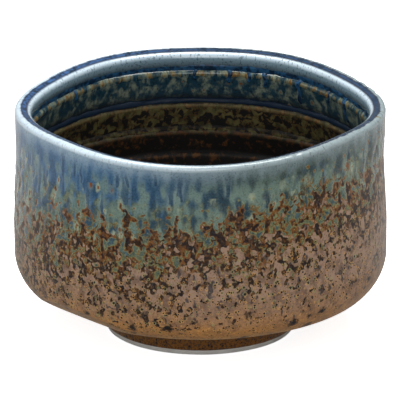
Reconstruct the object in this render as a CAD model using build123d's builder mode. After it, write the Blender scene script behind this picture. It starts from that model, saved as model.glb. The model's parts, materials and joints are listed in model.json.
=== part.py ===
"""A hand-thrown matcha bowl of the half-cylinder kind, 122 mm across and 75 mm high.

The bowl is a stoneware body on a luted foot ring. An iron glaze coats the clay, and a second, blue
glaze coats the upper part of it. The blue glaze ran in the kiln: it hangs in tongues outside, and it
gathered in pools and runs on the throwing ledges inside. Every coat is a separate solid that meets
the clay, or the coat under it, face to face.

Frame: millimetres, +Z up, origin on the table at the centre of the foot ring, -Y to the front.
"""

import os
from math import atan, cos, radians, sin, tan

from build123d import *

# The whole bowl, glaze included
BOWL_DIAMETER = 122.0
BOWL_HEIGHT = 75.0

# Glaze coats
IRON_COAT = 0.45
BLUE_COAT = 0.45
RUN_COAT = 0.35
COATS = IRON_COAT + BLUE_COAT

# Clay body
CLAY_RADIUS = BOWL_DIAMETER / 2 - COATS
HIP_RADIUS = 13.1
UNDERSIDE_SLOPE = 12.3  # degrees
FLOOR_EDGE_Z = 15.0
FLOOR_CENTRE_Z = 14.4
INNER_HIP_RADIUS = 18.0
INNER_HIP_INSET = 0.8  # the wall's foot stands this far inside the ledges' backs

# Lip
LIP_LAND = 3.6
LIP_FALL = 0.7
LIP_OUTER_ROUND = 0.6
LIP_INNER_ROUND = 0.5
LIP_LINE = 2.4  # the lip's blue glaze reaches this far below the top
LIP_ANGLE = atan(LIP_FALL / LIP_LAND)
# The corner under the lip's round, so that the coated lip tops out at the bowl's height
CLAY_TOP = BOWL_HEIGHT - COATS + LIP_OUTER_ROUND * (tan(LIP_ANGLE) + 1 / cos(LIP_ANGLE) - 1)

# Throwing ledges inside the wall, from the top down
GROOVE_RADIUS = CLAY_RADIUS - 3.2
CREST_RADIUS = CLAY_RADIUS - 4.7
CREST_HEIGHTS = (67.4, 56.6, 47.2, 39.0)
SHELF_DROP = 1.0
GROOVE_ROUND = 1.4
CREST_ROUND = 0.6
SHELF_ANGLE = atan(SHELF_DROP / (GROOVE_RADIUS - CREST_RADIUS))

# Foot ring
FOOT_HEIGHT = 8.0
FOOT_TOP_RADIUS = 31.0
FOOT_BASE_RADIUS = 30.2
FOOT_WELL_RADIUS = 24.4
FOOT_BEVEL = 0.8
BARE_BAND = 1.15  # unglazed clay at the bottom of the ring

# The flat that the trimming tool left on the hip, at the front left
FLAT_AZIMUTH = 222.0
FLAT_TILT = 56.0
FLAT_DEPTH = 1.3

# Where the blue coat ends
TONGUE_COUNT = 46
TONGUE_WIDTH = 9.5
TONGUE_MEAN_Z = 45.5
TONGUE_SPREAD = 4.0
TONGUE_ROOT_Z = 54.0
SLOW_WAVES = 3
SLOW_START = 40.0
SLOW_SHARE = 0.35
QUICK_STEP = 137.5  # degrees from one tongue to the next

# Pools on the ledges, and the runs that crossed the top ledge: azimuth, length, width
POOL_RISE = 2.4
POOL_SWELL = 0.3
RUN_TOP = 0.5
GLAZE_RUNS = (
    (92.0, 3.4, 1.5),
    (80.0, 4.4, 1.9),
    (73.0, 3.6, 1.7),
    (67.0, 4.8, 1.8),
    (53.0, 8.2, 2.0),
    (37.0, 3.8, 1.3),
    (27.0, 8.0, 1.9),
    (141.0, 3.6, 1.6),
    (196.0, 4.2, 1.7),
    (251.0, 6.4, 1.8),
    (318.0, 4.6, 1.6),
)

REACH = 100.0  # larger than the bowl, for cutting shapes
LIP_SPLIT = CLAY_RADIUS - LIP_LAND / 2
# A line inside the clay, from under the floor round the hip and up the wall
MIDDLE_OF_CLAY = ((0, 11.2), (40.0, 13.3), (50.0, 16.0), (LIP_SPLIT, 32.0))


def crest_corner(height):
    """The clay's corner at the inner edge of a ledge."""
    return (CREST_RADIUS, height)


def groove_corner(height):
    """The clay's corner at the back of the same ledge."""
    return (GROOVE_RADIUS, height + SHELF_DROP)


def clay_section():
    """Half section of the body, from the foot's joint round the hip and lip to the floor."""
    hip_z = FOOT_HEIGHT + (CLAY_RADIUS - FOOT_TOP_RADIUS) * tan(radians(UNDERSIDE_SLOPE))
    lip_inner = (CLAY_RADIUS - LIP_LAND, CLAY_TOP - LIP_FALL)
    corners = [
        (FOOT_TOP_RADIUS, FOOT_HEIGHT),
        (CLAY_RADIUS, hip_z),
        (CLAY_RADIUS, CLAY_TOP),
        lip_inner,
    ]
    rounds = [HIP_RADIUS, LIP_OUTER_ROUND, LIP_INNER_ROUND]
    for height in CREST_HEIGHTS:
        corners += [groove_corner(height), crest_corner(height)]
        rounds += [GROOVE_ROUND, CREST_ROUND]
    corners += [(GROOVE_RADIUS - INNER_HIP_INSET, FLOOR_EDGE_Z), (0, FLOOR_CENTRE_Z)]
    rounds += [INNER_HIP_RADIUS]
    with BuildSketch() as section:
        with BuildLine():
            FilletPolyline(*corners, radius=rounds)
            Polyline((0, FLOOR_CENTRE_Z), (0, FOOT_HEIGHT), (FOOT_TOP_RADIUS, FOOT_HEIGHT))
        make_face()
    return section.sketch


def foot_section():
    """Half section of the foot ring, bevelled where it stands on the table."""
    with BuildSketch() as section:
        with BuildLine():
            Polyline(
                (FOOT_WELL_RADIUS, FOOT_HEIGHT),
                (FOOT_WELL_RADIUS + FOOT_BEVEL, FOOT_BEVEL),
                (FOOT_WELL_RADIUS + 2 * FOOT_BEVEL, 0),
                (FOOT_BASE_RADIUS - FOOT_BEVEL, 0),
                (FOOT_BASE_RADIUS, BARE_BAND),
                (FOOT_TOP_RADIUS, FOOT_HEIGHT),
                close=True,
            )
        make_face()
    return section.sketch


def grown(section, thickness):
    """The section with a coat of this thickness round it, kept on one side of the axis."""
    with BuildSketch() as coated:
        add(section)
        offset(amount=thickness)
        with Locations((REACH / 2, 0)):
            Rectangle(REACH, 2 * REACH, mode=Mode.INTERSECT)
    return coated.sketch


def outline(*corners):
    """A straight-sided figure of the half section."""
    with BuildSketch() as figure:
        with BuildLine():
            Polyline(*corners, close=True)
        make_face()
    return figure.sketch


def window(low_r, low_z, high_r, high_z):
    """A rectangle of the half section, by its corners."""
    with BuildSketch() as frame:
        with Locations(((low_r + high_r) / 2, (low_z + high_z) / 2)):
            Rectangle(high_r - low_r, high_z - low_z)
    return frame.sketch


def inside(section, *windows):
    """The part of a section that lies in the windows."""
    with BuildSketch() as part:
        for each in windows:
            add(each)
        add(section, mode=Mode.INTERSECT)
    return part.sketch


def coat_section(outer, inner, *windows):
    """What lies between two sections, inside the windows."""
    with BuildSketch() as coat:
        add(inside(outer, *windows))
        add(inner, mode=Mode.SUBTRACT)
    return coat.sketch


def pool_section(height, thickness, under):
    """Glaze that gathered behind a ledge's crest, with a slightly swollen free surface."""
    wall = (GROOVE_RADIUS - thickness, height + SHELF_DROP + POOL_RISE)
    crest = (
        CREST_RADIUS + CREST_ROUND * cos(SHELF_ANGLE) - thickness * sin(SHELF_ANGLE),
        height + CREST_ROUND * sin(SHELF_ANGLE) + thickness * cos(SHELF_ANGLE),
    )
    middle = ((wall[0] + crest[0]) / 2 - POOL_SWELL, (wall[1] + crest[1]) / 2 + POOL_SWELL)
    behind = (GROOVE_RADIUS, height)
    with BuildSketch() as pool:
        add(outline(wall, middle, crest, behind, (GROOVE_RADIUS, wall[1])))
        add(under, mode=Mode.SUBTRACT)
    return pool.sketch


def flat_plane(thickness):
    """The plane of the trimmed flat, moved out by the glaze on it, facing away from the bowl."""
    across = radians(FLAT_AZIMUTH)
    down = radians(FLAT_TILT)
    outward = (cos(down) * cos(across), cos(down) * sin(across), -sin(down))
    ring_radius = CLAY_RADIUS - HIP_RADIUS
    ring_z = hip_centre_z()
    reach = HIP_RADIUS - FLAT_DEPTH + thickness
    centre = (
        ring_radius * cos(across) + reach * outward[0],
        ring_radius * sin(across) + reach * outward[1],
        ring_z + reach * outward[2],
    )
    return Plane(origin=centre, z_dir=outward)


def hip_centre_z():
    """Height of the centre of the hip's round."""
    slope = radians(UNDERSIDE_SLOPE)
    rise = (CLAY_RADIUS - HIP_RADIUS - FOOT_TOP_RADIUS) * tan(slope)
    return FOOT_HEIGHT + rise + HIP_RADIUS / cos(slope)


def radial_plane(azimuth):
    """An upright plane through the axis, facing out at this azimuth, with its x along the wall."""
    turn = radians(azimuth)
    return Plane(origin=(0, 0, 0), x_dir=(-sin(turn), cos(turn), 0), z_dir=(cos(turn), sin(turn), 0))


def tongue_tip(index):
    """Height of a tongue's tip: a few slow waves round the wall and a quick uneven one."""
    turn = index / TONGUE_COUNT
    slow = sin(radians(360 * SLOW_WAVES * turn + SLOW_START))
    quick = sin(radians(QUICK_STEP * index))
    return TONGUE_MEAN_Z + TONGUE_SPREAD * (SLOW_SHARE * slow + (1 - SLOW_SHARE) * quick)


def finish(builder, name):
    """Labels a finished piece and writes its file."""
    builder.part.label = name
    export_step(builder.part, f"parts/{name}.step")


os.makedirs("parts", exist_ok=True)

clay = clay_section()
foot = foot_section()
with BuildSketch() as core_build:
    add(clay)
    add(foot)
core = core_build.sketch
iron = grown(core, IRON_COAT)
blue = grown(iron, BLUE_COAT)
run = grown(blue, RUN_COAT)

# Windows of the half section
FOOT_MIDDLE = (FOOT_WELL_RADIUS + FOOT_BASE_RADIUS) / 2
FOOT_SKIN = FOOT_TOP_RADIUS + IRON_COAT
LIP_START = BOWL_HEIGHT - LIP_LINE
cavity = outline((0, REACH), *MIDDLE_OF_CLAY, (LIP_SPLIT, REACH))
outside = outline(
    (FOOT_SKIN, 0),
    (FOOT_SKIN, MIDDLE_OF_CLAY[0][1]),
    *MIDDLE_OF_CLAY[1:],
    (LIP_SPLIT, REACH),
    (REACH, REACH),
    (REACH, 0),
)
foot_side = window(FOOT_MIDDLE, BARE_BAND, FOOT_SKIN, FOOT_HEIGHT)
foot_well = window(0, 2 * FOOT_BEVEL, FOOT_MIDDLE, FOOT_HEIGHT)
top_ledge, middle_ledge, lower_ledge = CREST_HEIGHTS[:3]

# Clay
with BuildPart() as clay_body:
    with BuildSketch(Plane.XZ):
        add(clay)
    revolve(axis=Axis.Z)
    split(bisect_by=flat_plane(0), keep=Keep.BOTTOM)
finish(clay_body, "clay_body")

with BuildPart() as foot_ring:
    with BuildSketch(Plane.XZ):
        add(foot)
    revolve(axis=Axis.Z)
finish(foot_ring, "foot_ring")

# Iron coat
with BuildPart() as outer_iron_glaze:
    with BuildSketch(Plane.XZ):
        add(inside(iron, outside))
    revolve(axis=Axis.Z)
    split(bisect_by=flat_plane(IRON_COAT), keep=Keep.BOTTOM)
    add(clay_body.part, mode=Mode.SUBTRACT)
finish(outer_iron_glaze, "outer_iron_glaze")

with BuildPart() as inner_iron_glaze:
    with BuildSketch(Plane.XZ):
        add(coat_section(iron, core, cavity))
    revolve(axis=Axis.Z)
finish(inner_iron_glaze, "inner_iron_glaze")

with BuildPart() as foot_side_glaze:
    with BuildSketch(Plane.XZ):
        add(coat_section(iron, core, foot_side))
    revolve(axis=Axis.Z)
finish(foot_side_glaze, "foot_side_glaze")

with BuildPart() as foot_well_glaze:
    with BuildSketch(Plane.XZ):
        add(coat_section(iron, core, foot_well))
    revolve(axis=Axis.Z)
finish(foot_well_glaze, "foot_well_glaze")

# Blue coat
with BuildPart() as tongues:
    with BuildSketch(Plane.XY.offset(TONGUE_ROOT_Z)):
        Circle(BOWL_DIAMETER)
    extrude(amount=BOWL_HEIGHT)
    for index in range(TONGUE_COUNT):
        tip = tongue_tip(index)
        with BuildSketch(radial_plane(360 / TONGUE_COUNT * index)):
            with Locations((0, (TONGUE_ROOT_Z + tip) / 2 + TONGUE_WIDTH / 2)):
                SlotOverall(TONGUE_ROOT_Z - tip + TONGUE_WIDTH, TONGUE_WIDTH, rotation=90)
        extrude(amount=BOWL_DIAMETER)

with BuildPart() as outer_blue_glaze:
    with BuildSketch(Plane.XZ):
        add(coat_section(blue, iron, window(LIP_SPLIT, 0, REACH, LIP_START)))
    revolve(axis=Axis.Z)
    add(tongues.part, mode=Mode.INTERSECT)
finish(outer_blue_glaze, "outer_blue_glaze")

with BuildPart() as lip_blue_glaze:
    with BuildSketch(Plane.XZ):
        add(coat_section(blue, iron, window(0, LIP_START, REACH, REACH)))
    revolve(axis=Axis.Z)
finish(lip_blue_glaze, "lip_blue_glaze")

with BuildPart() as inner_blue_glaze:
    with BuildSketch(Plane.XZ):
        add(coat_section(blue, iron, window(0, middle_ledge, LIP_SPLIT, LIP_START)))
    revolve(axis=Axis.Z)
finish(inner_blue_glaze, "inner_blue_glaze")

# Pools on the ledges
for name, height, thickness, under in (
    ("upper_glaze_pool", top_ledge, COATS, blue),
    ("middle_glaze_pool", middle_ledge, COATS, blue),
    ("lower_glaze_pool", lower_ledge, IRON_COAT, iron),
):
    with BuildPart() as pool:
        with BuildSketch(Plane.XZ):
            add(pool_section(height, thickness, under))
        revolve(axis=Axis.Z)
    finish(pool, name)

# Runs over the top ledge
with BuildPart() as run_shapes:
    for azimuth, length, width in GLAZE_RUNS:
        with BuildSketch(radial_plane(azimuth)):
            with Locations((0, top_ledge + RUN_TOP - length / 2 + width / 2)):
                SlotOverall(length + width, width, rotation=90)
        extrude(amount=BOWL_DIAMETER)

with BuildPart() as inner_glaze_runs:
    with BuildSketch(Plane.XZ):
        add(coat_section(run, blue, window(0, middle_ledge + SHELF_DROP, GROOVE_RADIUS, top_ledge + RUN_TOP)))
        add(pool_section(top_ledge, COATS, blue), mode=Mode.SUBTRACT)
        add(pool_section(middle_ledge, COATS, blue), mode=Mode.SUBTRACT)
    revolve(axis=Axis.Z)
    add(run_shapes.part, mode=Mode.INTERSECT)
finish(inner_glaze_runs, "inner_glaze_runs")
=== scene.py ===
"""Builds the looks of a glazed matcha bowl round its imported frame.

Every coat and pool of the bowl is a section turned on the bowl's axis by Geometry Nodes. The
section's points lie on the clay, and their attributes say how much glaze lies over them. One field
gives the depth of the running blue glaze at each place, and both the shapes and the colours read it.
"""

import cmath
import json
import math

import bmesh
import bpy
from bpy.props import FloatProperty, FloatVectorProperty, IntProperty, PointerProperty
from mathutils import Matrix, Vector

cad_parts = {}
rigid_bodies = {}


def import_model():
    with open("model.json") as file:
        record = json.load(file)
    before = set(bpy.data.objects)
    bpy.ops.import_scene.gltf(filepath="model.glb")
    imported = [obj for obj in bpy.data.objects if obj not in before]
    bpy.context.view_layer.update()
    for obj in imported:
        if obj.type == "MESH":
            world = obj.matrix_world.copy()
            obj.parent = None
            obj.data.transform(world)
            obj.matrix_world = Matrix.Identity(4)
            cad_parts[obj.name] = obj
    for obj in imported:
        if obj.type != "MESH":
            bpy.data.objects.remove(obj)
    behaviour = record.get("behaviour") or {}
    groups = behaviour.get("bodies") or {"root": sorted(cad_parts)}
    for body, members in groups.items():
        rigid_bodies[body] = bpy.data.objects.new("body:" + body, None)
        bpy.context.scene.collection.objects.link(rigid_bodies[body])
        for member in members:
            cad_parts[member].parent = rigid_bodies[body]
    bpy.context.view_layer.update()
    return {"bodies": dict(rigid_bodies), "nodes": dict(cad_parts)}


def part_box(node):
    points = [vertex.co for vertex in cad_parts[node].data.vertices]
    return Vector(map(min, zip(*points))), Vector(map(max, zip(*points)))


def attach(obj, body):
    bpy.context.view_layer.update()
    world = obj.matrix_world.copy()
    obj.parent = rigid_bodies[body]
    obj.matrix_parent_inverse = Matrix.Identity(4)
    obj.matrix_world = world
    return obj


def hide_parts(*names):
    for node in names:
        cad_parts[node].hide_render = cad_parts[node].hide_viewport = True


bl_info = {
    "name": "Matcha Bowl",
    "version": (1, 0, 0),
    "blender": (4, 5, 0),
    "location": "View3D > Sidebar > Bowl",
    "description": "Builds a glazed matcha bowl round its packed frame",
    "category": "Object",
}

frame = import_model()

BODY = next(iter(frame["bodies"]))

MM = 0.001
LOW, HIGH = 0, 1
X, Y, Z = 0, 1, 2

# Sizes read from the frame, in millimetres
BOWL_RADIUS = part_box("outer_blue_glaze")[HIGH][Y] / MM
BOWL_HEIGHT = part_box("lip_blue_glaze")[HIGH][Z] / MM
CLAY_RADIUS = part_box("clay_body")[HIGH][Y] / MM
CLAY_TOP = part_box("clay_body")[HIGH][Z] / MM
IRON_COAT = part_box("outer_iron_glaze")[HIGH][Y] / MM - CLAY_RADIUS
BLUE_COAT = BOWL_RADIUS - CLAY_RADIUS - IRON_COAT
FOOT_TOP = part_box("foot_ring")[HIGH][Z] / MM
FOOT_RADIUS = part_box("foot_ring")[HIGH][X] / MM
BARE_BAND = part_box("foot_side_glaze")[LOW][Z] / MM
WELL_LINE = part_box("foot_well_glaze")[LOW][Z] / MM
FLOOR_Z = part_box("inner_iron_glaze")[LOW][Z] / MM
LIP_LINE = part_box("lip_blue_glaze")[LOW][Z] / MM
INNER_BLUE_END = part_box("inner_blue_glaze")[LOW][Z] / MM
POOL_NODES = ("upper_glaze_pool", "middle_glaze_pool", "lower_glaze_pool")
POOL_FEET = (1.08, 1.08, 0.71)  # from a ledge's crest up to the lowest point of its pool
CRESTS = [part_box(name)[LOW][Z] / MM - foot for name, foot in zip(POOL_NODES, POOL_FEET)]
CRESTS.append(CRESTS[-1] - 8.2)


def tone(code):
    """A colour written as 0xRRGGBB, in the linear values that shaders take."""
    channels = ((code >> shift & 255) / 255 for shift in (16, 8, 0))
    return tuple(c / 12.92 if c <= 0.04045 else ((c + 0.055) / 1.055) ** 2.4 for c in channels)


# ---------------------------------------------------------------- settings


class BowlShape(bpy.types.PropertyGroup):
    """Sizes that the wheel and the hand gave the bowl."""

    around: IntProperty(
        name="Steps Around", description="Faces round the bowl", default=448, min=64, max=640
    )
    step: FloatProperty(
        name="Step", description="Longest face along a section",
        default=0.85 * MM, unit="LENGTH", precision=5,
    )
    pinch: FloatProperty(
        name="Pinch", description="Pressure on the rim's corners, which moves them in by 0.59 of it",
        default=4.0 * MM, unit="LENGTH",
    )
    rim_rise: FloatProperty(
        name="Rim Rise", description="Rise of the rim's lowest corner, up to twice as much at others",
        default=0.6 * MM, unit="LENGTH",
    )
    wave: FloatProperty(
        name="Waviness", description="Uneven swell of the thrown wall",
        default=0.35 * MM, unit="LENGTH",
    )
    flat_azimuth: FloatProperty(
        name="Flat Azimuth", description="Where the trimming tool cut the hip",
        default=math.radians(222), unit="ROTATION",
    )
    flat_tilt: FloatProperty(
        name="Flat Tilt", description="How far the flat faces down",
        default=math.radians(56), unit="ROTATION",
    )
    flat_depth: FloatProperty(
        name="Flat Depth", description="Depth of the cut", default=2.0 * MM, unit="LENGTH"
    )


class BowlGlaze(bpy.types.PropertyGroup):
    """Where the blue glaze ends, and the glazes' colours."""

    line: FloatProperty(
        name="Blue Line", description="Height where the blue glaze breaks up",
        default=51 * MM, unit="LENGTH",
    )
    lean: FloatProperty(
        name="Lean", description="How much higher the line is at the right than in the middle",
        default=10 * MM, unit="LENGTH",
    )
    slate: FloatVectorProperty(
        name="Slate Blue", description="Thick blue glaze",
        subtype="COLOR", size=3, default=tone(0x4A7090),
    )
    celadon: FloatVectorProperty(
        name="Celadon", description="Thin blue glaze",
        subtype="COLOR", size=3, default=tone(0x6E7459),
    )
    rust: FloatVectorProperty(
        name="Rust", description="Iron at the edge of the blue",
        subtype="COLOR", size=3, default=tone(0x86581F),
    )
    mauve: FloatVectorProperty(
        name="Mauve", description="Iron glaze on the wall",
        subtype="COLOR", size=3, default=tone(0xA48873),
    )
    orange: FloatVectorProperty(
        name="Orange", description="Iron glaze on the hip",
        subtype="COLOR", size=3, default=tone(0xAE8048),
    )
    clay: FloatVectorProperty(
        name="Clay", description="Bare fired clay",
        subtype="COLOR", size=3, default=tone(0xF4F2EC),
    )


class BowlStudio(bpy.types.PropertyGroup):
    """The floor, the lights and the camera."""

    floor: FloatVectorProperty(
        name="Floor", description="Colour of the floor",
        subtype="COLOR", size=3, default=(0.9, 0.9, 0.9),
    )
    elevation: FloatProperty(
        name="Elevation", description="How far the camera looks down",
        default=math.radians(19.3), unit="ROTATION",
    )
    view_width: FloatProperty(
        name="View Width", description="Width of the view at the bowl",
        default=130.85 * MM, unit="LENGTH",
    )
    lens: FloatProperty(name="Lens", description="Focal length in millimetres", default=1200.0)


# ---------------------------------------------------------------- node trees


class Wire:
    """A value on its way through a node tree. Sums and products of wires add nodes to the tree."""

    def __init__(self, tree, socket):
        self.tree = tree
        self.socket = socket

    def math(self, operation, *others):
        return node(self.tree, "ShaderNodeMath", self, *others, operation=operation)

    def __add__(self, other):
        return self.math("ADD", other)

    def __sub__(self, other):
        return self.math("SUBTRACT", other)

    def __mul__(self, other):
        return self.math("MULTIPLY", other)

    def __truediv__(self, other):
        return self.math("DIVIDE", other)

    def __rsub__(self, other):
        return self.math("MULTIPLY_ADD", -1.0, other)

    __radd__ = __add__
    __rmul__ = __mul__

    def clip(self, low=0.0, high=1.0):
        return self.math("MAXIMUM", low).math("MINIMUM", high)

    def rise(self, low, high):
        """0 below low and 1 above high, with a smooth step between. Falls where high is below low."""
        if low > high:
            return 1.0 - self.rise(high, low)
        return node(self.tree, "ShaderNodeMapRange", self, low, high, interpolation_type="SMOOTHSTEP")

    def fade(self, near, far):
        """1 below near and 0 above far, which may be wires."""
        return node(
            self.tree, "ShaderNodeMapRange", self, near, far, 1.0, 0.0,
            interpolation_type="SMOOTHSTEP",
        )

    def split(self):
        parts = raw_node(self.tree, "ShaderNodeSeparateXYZ", self)
        return [Wire(self.tree, socket) for socket in parts.outputs]

    def scaled(self, *factors):
        if len(factors) == 1:
            factors = factors * 3
        return node(self.tree, "ShaderNodeVectorMath", self, factors, operation="MULTIPLY")

    def moved(self, offset):
        return node(self.tree, "ShaderNodeVectorMath", self, offset, operation="ADD")

    def lengthened(self, factor):
        """A direction times a value that may be a wire."""
        return node(self.tree, "ShaderNodeVectorMath", self, operation="SCALE", Scale=factor)

    def noise(self, size, detail=2.0, roughness=0.5, distortion=0.0):
        """Smooth noise with features about this large, in the units of the place."""
        return node(
            self.tree, "ShaderNodeTexNoise", Vector=self, Scale=1 / size, Detail=detail,
            Roughness=roughness, Distortion=distortion,
        )


def feed(tree, socket, value):
    """Links a wire to a socket, or sets the socket's own value."""
    if isinstance(value, Wire):
        tree.links.new(value.socket, socket)
    else:
        socket.default_value = value


def raw_node(tree, kind, *values, **named):
    """Adds a node. Plain values and capitalised names go to its sockets, other names are settings."""
    added = tree.nodes.new(kind)
    for name, value in named.items():
        if name[0].islower():
            setattr(added, name, value)
    for socket, value in zip(added.inputs, values):
        feed(tree, socket, value)
    for name, value in named.items():
        if not name[0].islower():
            feed(tree, added.inputs[name.replace("_", " ")], value)
    return added


def node(tree, kind, *values, **named):
    """Adds a node and gives its first output."""
    return Wire(tree, raw_node(tree, kind, *values, **named).outputs[0])


def blend(factor, first, second):
    """Mixes two colours."""
    tree = factor.tree
    mixer = tree.nodes.new("ShaderNodeMix")
    mixer.data_type = "RGBA"
    colours = [socket for socket in mixer.inputs if socket.type == "RGBA"]
    feed(tree, mixer.inputs[0], factor)
    for socket, colour in zip(colours, (first, second)):
        feed(tree, socket, colour if isinstance(colour, Wire) else (*colour, 1.0))
    return Wire(tree, next(socket for socket in mixer.outputs if socket.type == "RGBA"))


def new_tree(name, kind, inputs, outputs):
    """A node group with named sockets. Gives the tree, its input wires and what links its outputs.

    Inputs are {name: (type, default)} and outputs {name: type}.
    """
    tree = bpy.data.node_groups.new(name, kind)
    for label, (kind_of_value, default) in inputs.items():
        socket_type = "NodeSocket" + kind_of_value
        socket = tree.interface.new_socket(label, in_out="INPUT", socket_type=socket_type)
        if default is not None:
            socket.default_value = default
    for label, kind_of_value in outputs.items():
        tree.interface.new_socket(label, in_out="OUTPUT", socket_type="NodeSocket" + kind_of_value)
    entry = tree.nodes.new("NodeGroupInput")
    wires = {label: Wire(tree, entry.outputs[label]) for label in inputs}

    def leave(**results):
        exit_node = tree.nodes.new("NodeGroupOutput")
        for label, wire in results.items():
            tree.links.new(wire.socket, exit_node.inputs[label.replace("_", " ")])

    return tree, wires, leave


def group(tree, inner, **inputs):
    """Places a node group in a tree and gives its outputs by name."""
    kind = "GeometryNodeGroup" if tree.bl_idname == "GeometryNodeTree" else "ShaderNodeGroup"
    placed = tree.nodes.new(kind)
    placed.node_tree = inner
    for label, value in inputs.items():
        feed(tree, placed.inputs[label.replace("_", " ")], value)
    return {socket.name: Wire(tree, socket) for socket in placed.outputs}


def off_axis(x, y, least):
    """The distance from the bowl's axis, never below a least one, so it can be divided by."""
    return (x * x + y * y).math("SQRT").math("MAXIMUM", least)


# ---------------------------------------------------------------- the blue glaze's depth

WALL_RADIUS = 60.0  # the patterns on the wall are measured at this distance from the axis
NEAR_AXIS = 1e-6  # in metres
BREAK_LINE = {"Line": ("Float", 51.0), "Lean": ("Float", 8.0)}  # sockets of every tree that lays blue
INSIDE_SHIFT = 150  # moves the patterns inside the bowl away from those outside
DEPTH_SHARE = 0.35  # millimetres of depth for each unit of cover
PARTED = -0.15  # depth where the glaze has parted, which puts it under the iron glaze


def glaze_depth_tree(kind):
    """How deep the blue glaze lies at a place on the bowl, the same for shapes and for colours.

    Place is in millimetres. Depth is in millimetres too, and below zero where the glaze has parted.
    Fall is the height above the line where the outer glaze breaks up. Cover is the depth before its
    limits, with fine flecks that only the colours use.
    """
    tree, wires, leave = new_tree(
        "Blue glaze depth",
        kind,
        {
            "Place": ("Vector", None),
            "Inside": ("Float", 0.0),
            **BREAK_LINE,
        },
        {"Depth": "Float", "Cover": "Float", "Fall": "Float", "Spread": "Vector", "Height": "Float"},
    )
    x, y, z = wires["Place"].split()
    across = x / off_axis(x, y, NEAR_AXIS / MM)
    spread = node(tree, "ShaderNodeCombineXYZ", x, y, z + wires["Inside"] * INSIDE_SHIFT)
    line = wires["Line"] + wires["Lean"] * across + (spread.noise(26, 1.0) - 0.5) * 16
    fall = z - line
    islands = spread.scaled(1, 1, 0.8).noise(3.6, 1.6, 0.55, 0.6) - 0.5
    flecks = spread.moved((0, 0, 500)).scaled(1, 1, 0.85).noise(1.9, 1.0, 0.5, 0.6) - 0.5
    outer = fall / 24 + islands * 3.4 - 0.05 + z.rise(58, 67) * (1.3 - across.clip() * 0.9)
    inner = (z - 57.5) / 4 + islands * 2.0
    body = outer + (inner - outer) * wires["Inside"]
    cover = body + flecks * 2.4
    depth = (body * DEPTH_SHARE).clip(PARTED, BLUE_COAT)
    leave(Depth=depth, Cover=cover, Fall=fall, Spread=spread, Height=z)
    return tree


# ---------------------------------------------------------------- sections of the bowl

# A point of a section is a complex number: its distance from the axis plus its height times j.
# A sample is such a point with the direction that faces away from the clay.

LIP_OUTER = complex(59.8, CLAY_TOP + 0.13)
LIP_INNER = complex(56.2, CLAY_TOP - 0.7)
LIP_MIDDLE = (LIP_OUTER + LIP_INNER) / 2
INNER_WALL = complex(55.8, 71.3)
BELLY = complex(60.55, 38)
WAIST = complex(59.45, 60)
GROOVE_RADIUS = CLAY_RADIUS - 3.2
CREST_RADIUS = CLAY_RADIUS - 4.7
SHELF_DROP = 1.0
GROOVE_REACH = 1.9  # how far from a groove's corner glaze still gathers
GROOVES = [complex(GROOVE_RADIUS, height + SHELF_DROP) for height in CRESTS]
CREST_POINTS = [complex(CREST_RADIUS, height) for height in CRESTS]
FOOT_CORNERS = [complex(24.4, FOOT_TOP), complex(25.2, 0.8), complex(26.0, 0)]
FOOT_CORNERS += [complex(30.6, 0), complex(31.0, BARE_BAND), complex(31.2, FOOT_TOP)]
HIP_CORNER = complex(60.3, 15.4)
HIP_ROUND = 14.2
OUTSIDE_ROUNDS = [1.5, 0.5, 0.4, 0.4, 0.5, 1.6, HIP_ROUND, 80, 60, 0.6]
BACK_SINK = 0.25  # how deep the back of a running coat lies in the coat under it
SPOKE = math.radians(13)  # longest turn between two samples on a round corner


def rounded_line(corners, radii, step):
    """Samples along straight runs joined by round corners, with the air to the right of the way."""
    ways = [(end - start) / abs(end - start) for start, end in zip(corners, corners[1:])]
    samples = []
    start = corners[0]
    for index, way in enumerate(ways):
        air = way * -1j
        corner = corners[index + 1]
        last = index == len(ways) - 1
        turn = 0.0 if last else cmath.phase(ways[index + 1] / way)
        radius = 0.0 if last else radii[index]
        cut = radius * math.tan(abs(turn) / 2)
        end = corner - way * cut
        count = max(1, math.ceil(abs(end - start) / step))
        samples += [(start + (end - start) * i / count, air) for i in range(count)]
        if last:
            samples.append((end, air))
            break
        bulge = math.copysign(radius, turn)
        centre = end - air * bulge
        spokes = max(2, math.ceil(abs(turn) / SPOKE), math.ceil(abs(turn) * radius / step))
        for i in range(spokes):
            spoke = air * cmath.rect(1, turn * i / spokes)
            samples.append((centre + spoke * bulge, spoke))
        start = corner + ways[index + 1] * cut
    return samples


def outside_line(step):
    """From the axis under the floor, round the foot and the hip and up to the middle of the lip."""
    corners = [complex(0, FOOT_TOP), *FOOT_CORNERS, HIP_CORNER, BELLY, WAIST, LIP_OUTER, LIP_MIDDLE]
    return rounded_line(corners, OUTSIDE_ROUNDS, step)


def inside_line(step):
    """From the middle of the lip, down over the ledges and to the axis on the floor."""
    corners = [LIP_MIDDLE, LIP_INNER, INNER_WALL]
    radii = [1.3, 3.0]
    for groove, crest in zip(GROOVES, CREST_POINTS):
        corners += [groove, crest]
        radii += [1.4, 0.6]
    corners += [complex(GROOVE_RADIUS - 0.8, FLOOR_Z + 0.6), complex(0, FLOOR_Z)]
    radii += [18.0]
    return rounded_line(corners, radii, step)


def crossing(line, height, after=0):
    """How far along a line, in samples, it first crosses a height."""
    for index in range(after, len(line) - 1):
        here = line[index][0].imag - height
        there = line[index + 1][0].imag - height
        if here * there <= 0 and here != there:
            return index + here / (here - there)
    raise ValueError(f"the line never crosses {height}")


def lowest_sample(line):
    return min(range(len(line)), key=lambda i: line[i][0].imag)


def stretch(line, start=0.0, end=None):
    """The samples from one place on a line to another."""
    end = len(line) - 1 if end is None else end

    def at(place):
        index = min(int(place), len(line) - 2)
        share = place - index
        return tuple(a + (b - a) * share for a, b in zip(line[index], line[index + 1]))

    inner = [line[i] for i in range(math.floor(start) + 1, math.ceil(end))]
    return [at(start)] + inner + [at(end)]


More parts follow.
